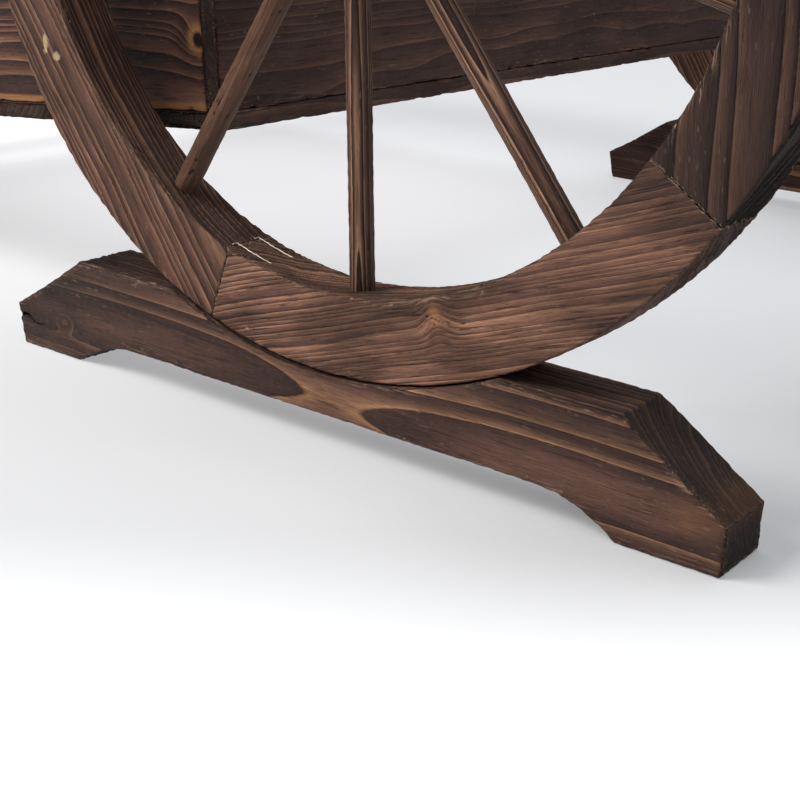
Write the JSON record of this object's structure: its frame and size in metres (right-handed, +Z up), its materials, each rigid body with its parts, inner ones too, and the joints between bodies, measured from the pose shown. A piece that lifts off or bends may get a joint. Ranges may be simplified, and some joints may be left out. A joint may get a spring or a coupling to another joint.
{
  "type": "wheelbarrow",
  "caption": "Charred-wood garden barrow with an open planter box, spoked wooden wheels on a steel axle, rear legs, straight handles and a loose cradle block under each wheel.",
  "frame": {"origin": "on the floor at the middle of the overall length and width", "axes": "+X forward to the wheels, +Y to the left-hand wheel, +Z up"},
  "size_m": [1.2757, 0.7818, 0.516],
  "materials": {
    "rim_wood": "charred and brushed",
    "dowel_wood": "charred and brushed",
    "hub_wood": "charred and brushed",
    "cradle_wood": "charred and brushed",
    "frame_wood": "charred and brushed",
    "box_wood": "charred and brushed",
    "axle_steel": "plain, lightly dulled",
    "fastener_steel": "zinc plated"
  },
  "bodies": {
    "barrow": {"axle_nuts": "axle_steel", "axle_rod": "axle_steel", "axle_washers": "axle_steel", "bottom_board_1": "box_wood", "bottom_board_2": "box_wood", "bottom_board_3": "box_wood", "bottom_board_4": "box_wood", "box_screws": "fastener_steel", "corner_post_front_left": "box_wood", "corner_post_front_right": "box_wood", "corner_post_rear_left": "box_wood", "corner_post_rear_right": "box_wood", "front_board_lower": "box_wood", "front_board_upper": "box_wood", "leg_bolts": "fastener_steel", "leg_left": "frame_wood", "leg_right": "frame_wood", "leg_stretcher": "frame_wood", "rail_left": "frame_wood", "rail_right": "frame_wood", "rear_board_lower": "box_wood", "rear_board_upper": "box_wood", "side_board_left_lower": "box_wood", "side_board_left_upper": "box_wood", "side_board_right_lower": "box_wood", "side_board_right_upper": "box_wood"},
    "right_wheel": {"felloe_right_1": "rim_wood", "felloe_right_2": "rim_wood", "felloe_right_3": "rim_wood", "felloe_right_4": "rim_wood", "felloe_right_5": "rim_wood", "spoke_right_1": "dowel_wood", "spoke_right_10": "dowel_wood", "spoke_right_2": "dowel_wood", "spoke_right_3": "dowel_wood", "spoke_right_4": "dowel_wood", "spoke_right_5": "dowel_wood", "spoke_right_6": "dowel_wood", "spoke_right_7": "dowel_wood", "spoke_right_8": "dowel_wood", "spoke_right_9": "dowel_wood", "hub_right": "hub_wood"},
    "left_wheel": {"felloe_left_1": "rim_wood", "felloe_left_2": "rim_wood", "felloe_left_3": "rim_wood", "felloe_left_4": "rim_wood", "felloe_left_5": "rim_wood", "spoke_left_1": "dowel_wood", "spoke_left_10": "dowel_wood", "spoke_left_2": "dowel_wood", "spoke_left_3": "dowel_wood", "spoke_left_4": "dowel_wood", "spoke_left_5": "dowel_wood", "spoke_left_6": "dowel_wood", "spoke_left_7": "dowel_wood", "spoke_left_8": "dowel_wood", "spoke_left_9": "dowel_wood", "hub_left": "hub_wood"},
    "right_cradle": {"cradle_right": "cradle_wood"},
    "left_cradle": {"cradle_left": "cradle_wood"}
  },
  "joints": [
    {"name": "right_wheel_spin", "type": "hinge", "parent": "barrow", "child": "right_wheel", "pos_m": [0.39789, -0.342, 0.276], "axis": [0, 1, 0], "continuous": true},
    {"name": "left_wheel_spin", "type": "hinge", "parent": "barrow", "child": "left_wheel", "pos_m": [0.39789, 0.342, 0.276], "axis": [0, 1, 0], "continuous": true},
    {"name": "right_cradle_draw", "type": "slide", "parent": "barrow", "child": "right_cradle", "axis": [0, -1, 0], "range_m": [0, 0.06]},
    {"name": "left_cradle_draw", "type": "slide", "parent": "barrow", "child": "left_cradle", "axis": [0, 1, 0], "range_m": [0, 0.06]}
  ]
}
